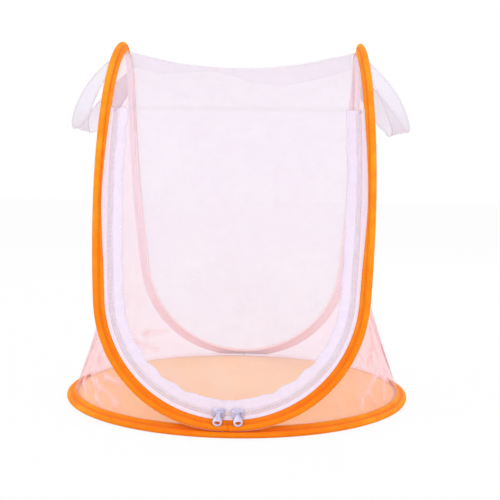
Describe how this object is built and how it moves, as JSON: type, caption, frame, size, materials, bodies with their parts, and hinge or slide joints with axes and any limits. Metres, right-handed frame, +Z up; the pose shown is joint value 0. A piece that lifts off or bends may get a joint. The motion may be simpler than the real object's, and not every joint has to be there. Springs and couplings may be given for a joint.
{
  "type": "insect cage",
  "caption": "Pop-up netting insect cage: round base hoop, tall saddle-shaped spring hoop with tips left and right, arched zip door and carrying straps.",
  "frame": {"origin": "middle of the base hoop, at the floor it stands on", "axes": "+Z up; the zip door faces -Y; the hoop's two tips and the straps stand at -X and +X"},
  "size_m": [0.34, 0.34, 0.3499],
  "materials": {
    "spring_steel": "drawn spring wire, dull",
    "orange_tape": "woven polyester binding, slight sheen",
    "orange_cloth": "thin woven polyester",
    "pink_mesh": "fine knitted netting, see-through",
    "lilac_tape": "woven zip tape and netting strap, matt",
    "coil_nylon": "wound nylon monofilament",
    "slider_metal": "sprayed zinc alloy, satin"
  },
  "bodies": {
    "cage": {"base_hoop_wire": "spring_steel", "base_hoop_ferrule": "spring_steel", "base_binding": "orange_tape", "floor_panel": "orange_cloth", "arch_wire": "spring_steel", "arch_ferrule": "spring_steel", "arch_binding_left": "orange_tape", "arch_binding_right": "orange_tape", "side_panel_left": "pink_mesh", "side_panel_right": "pink_mesh", "rear_panel": "pink_mesh", "front_panel_upper": "pink_mesh", "ridge_hem": "lilac_tape", "zip_tape_frame": "lilac_tape", "zip_coil_frame": "coil_nylon", "zip_stop_left": "slider_metal", "zip_stop_right": "slider_metal"},
    "door": {"door_panel": "pink_mesh", "zip_tape_door": "lilac_tape", "zip_coil_door_left": "coil_nylon", "zip_coil_door_right": "coil_nylon"},
    "slider_left": {"slider_left": "slider_metal"},
    "slider_right": {"slider_right": "slider_metal"},
    "pull_left": {"slider_pull_left": "slider_metal"},
    "pull_right": {"slider_pull_right": "slider_metal"},
    "strap_left": {"handle_left": "lilac_tape"},
    "strap_right": {"handle_right": "lilac_tape"}
  },
  "joints": [
    {"name": "door_swing", "type": "hinge", "parent": "cage", "child": "door", "pos_m": [0, -0.07273, 0.28014], "axis": [-1, 0, 0], "range_deg": [0, 110]},
    {"name": "slider_left_run", "type": "hinge", "parent": "cage", "child": "slider_left", "pos_m": [0, -0.12985, 0.11964], "axis": [0, 0.9613, -0.2756], "range_deg": [0, 74]},
    {"name": "slider_right_run", "type": "hinge", "parent": "cage", "child": "slider_right", "pos_m": [0, -0.12985, 0.11964], "axis": [0, -0.9613, 0.2756], "range_deg": [0, 74]},
    {"name": "pull_left_flip", "type": "hinge", "parent": "slider_left", "child": "pull_left", "pos_m": [-0.00809, -0.16222, 0.02002], "axis": [-0.997, 0.0212, 0.0741], "range_deg": [0, 145]},
    {"name": "pull_right_flip", "type": "hinge", "parent": "slider_right", "child": "pull_right", "pos_m": [0.00809, -0.16222, 0.02002], "axis": [-0.997, -0.0212, -0.0741], "range_deg": [0, 145]},
    {"name": "strap_left_lift", "type": "hinge", "parent": "cage", "child": "strap_left", "pos_m": [-0.12267, 0, 0.325], "axis": [0, 1, 0], "range_deg": [0, 90]},
    {"name": "strap_right_lift", "type": "hinge", "parent": "cage", "child": "strap_right", "pos_m": [0.12267, 0, 0.325], "axis": [0, -1, 0], "range_deg": [0, 90]}
  ]
}
